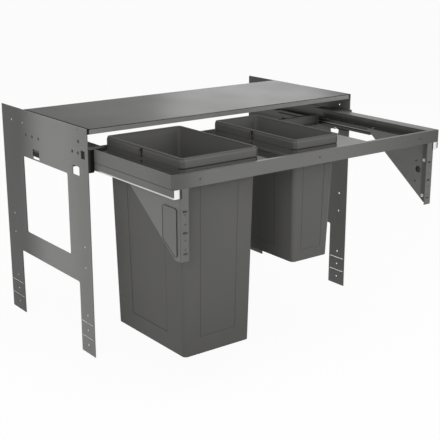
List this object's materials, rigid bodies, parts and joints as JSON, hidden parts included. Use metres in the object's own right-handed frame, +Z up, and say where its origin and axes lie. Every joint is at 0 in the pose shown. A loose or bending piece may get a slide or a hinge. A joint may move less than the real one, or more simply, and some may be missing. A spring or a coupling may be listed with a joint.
{
  "type": "pull out bin frame",
  "caption": "Sheet-metal frame for a sink cabinet: panels with a cover, ball runners and a pull-out frame that carries hanging bins and a front panel.",
  "frame": {"origin": "middle of the floor area under the drawn-out frame, at the feet's lower edges", "axes": "+X to the right across the cabinet, +Y to the cabinet's back, +Z up"},
  "size_m": [0.864, 0.804, 0.585],
  "materials": {
    "anthracite_sheet": "anthracite powder coat",
    "cover_sheet": "smooth satin powder coat",
    "dark_zinc": "dark passivated zinc plate",
    "zinc_plated": "bright zinc plate",
    "bare_steel": "plain bright steel",
    "black_plastic": "fine grained moulding",
    "grey_cap": "fine grained moulding",
    "bin_plastic": "fine grained moulding"
  },
  "bodies": {
    "cabinet_frame": {"left_side_panel": "anthracite_sheet", "right_side_panel": "anthracite_sheet", "cover_plate": "cover_sheet", "cover_front_edge": "cover_sheet", "cover_rear_edge": "cover_sheet", "left_cover_end": "cover_sheet", "right_cover_end": "cover_sheet", "cover_screws": "bare_steel", "left_cabinet_runner": "dark_zinc", "right_cabinet_runner": "dark_zinc", "runner_screws": "bare_steel", "left_runner_cap": "black_plastic", "right_runner_cap": "black_plastic", "left_rear_clip": "black_plastic", "right_rear_clip": "black_plastic"},
    "middle_runners": {"left_middle_runner": "dark_zinc", "right_middle_runner": "dark_zinc"},
    "inner_cages": {"left_inner_cage": "bare_steel", "right_inner_cage": "bare_steel", "inner_balls": "bare_steel"},
    "outer_cages": {"left_outer_cage": "bare_steel", "right_outer_cage": "bare_steel", "outer_balls": "bare_steel"},
    "pull_out": {"left_drawer_runner": "zinc_plated", "right_drawer_runner": "zinc_plated", "left_runner_end": "zinc_plated", "right_runner_end": "zinc_plated", "runner_bolts": "bare_steel", "left_rail": "anthracite_sheet", "right_rail": "anthracite_sheet", "front_bar": "anthracite_sheet", "rear_bar": "anthracite_sheet", "carrier_plate": "anthracite_sheet", "left_gusset": "anthracite_sheet", "right_gusset": "anthracite_sheet", "gusset_rivets": "bare_steel", "left_gusset_cap": "grey_cap", "right_gusset_cap": "grey_cap", "front_adjusters": "zinc_plated"},
    "large_bin": {"large_bin": "bin_plastic"},
    "small_bin": {"small_bin": "bin_plastic"}
  },
  "joints": [
    {"name": "pull_out", "type": "slide", "parent": "cabinet_frame", "child": "pull_out", "axis": [0, -1, 0], "range_m": [-0.321, 0.1]},
    {"name": "middle_runner_slide", "type": "slide", "parent": "cabinet_frame", "child": "middle_runners", "axis": [0, -1, 0], "range_m": [-0.1605, 0.05]},
    {"name": "inner_cage_slide", "type": "slide", "parent": "cabinet_frame", "child": "inner_cages", "axis": [0, -1, 0], "range_m": [-0.08025, 0.025]},
    {"name": "outer_cage_slide", "type": "slide", "parent": "cabinet_frame", "child": "outer_cages", "axis": [0, -1, 0], "range_m": [-0.24075, 0.075]},
    {"name": "large_bin_lift", "type": "slide", "parent": "pull_out", "child": "large_bin", "axis": [0, 0, 1], "range_m": [0, 0.51]},
    {"name": "small_bin_lift", "type": "slide", "parent": "pull_out", "child": "small_bin", "axis": [0, 0, 1], "range_m": [0, 0.35]}
  ],
  "couplings": [
    {"joint": "middle_runner_slide", "follows": "pull_out", "ratio": 0.5},
    {"joint": "inner_cage_slide", "follows": "pull_out", "ratio": 0.25},
    {"joint": "outer_cage_slide", "follows": "pull_out", "ratio": 0.75}
  ]
}
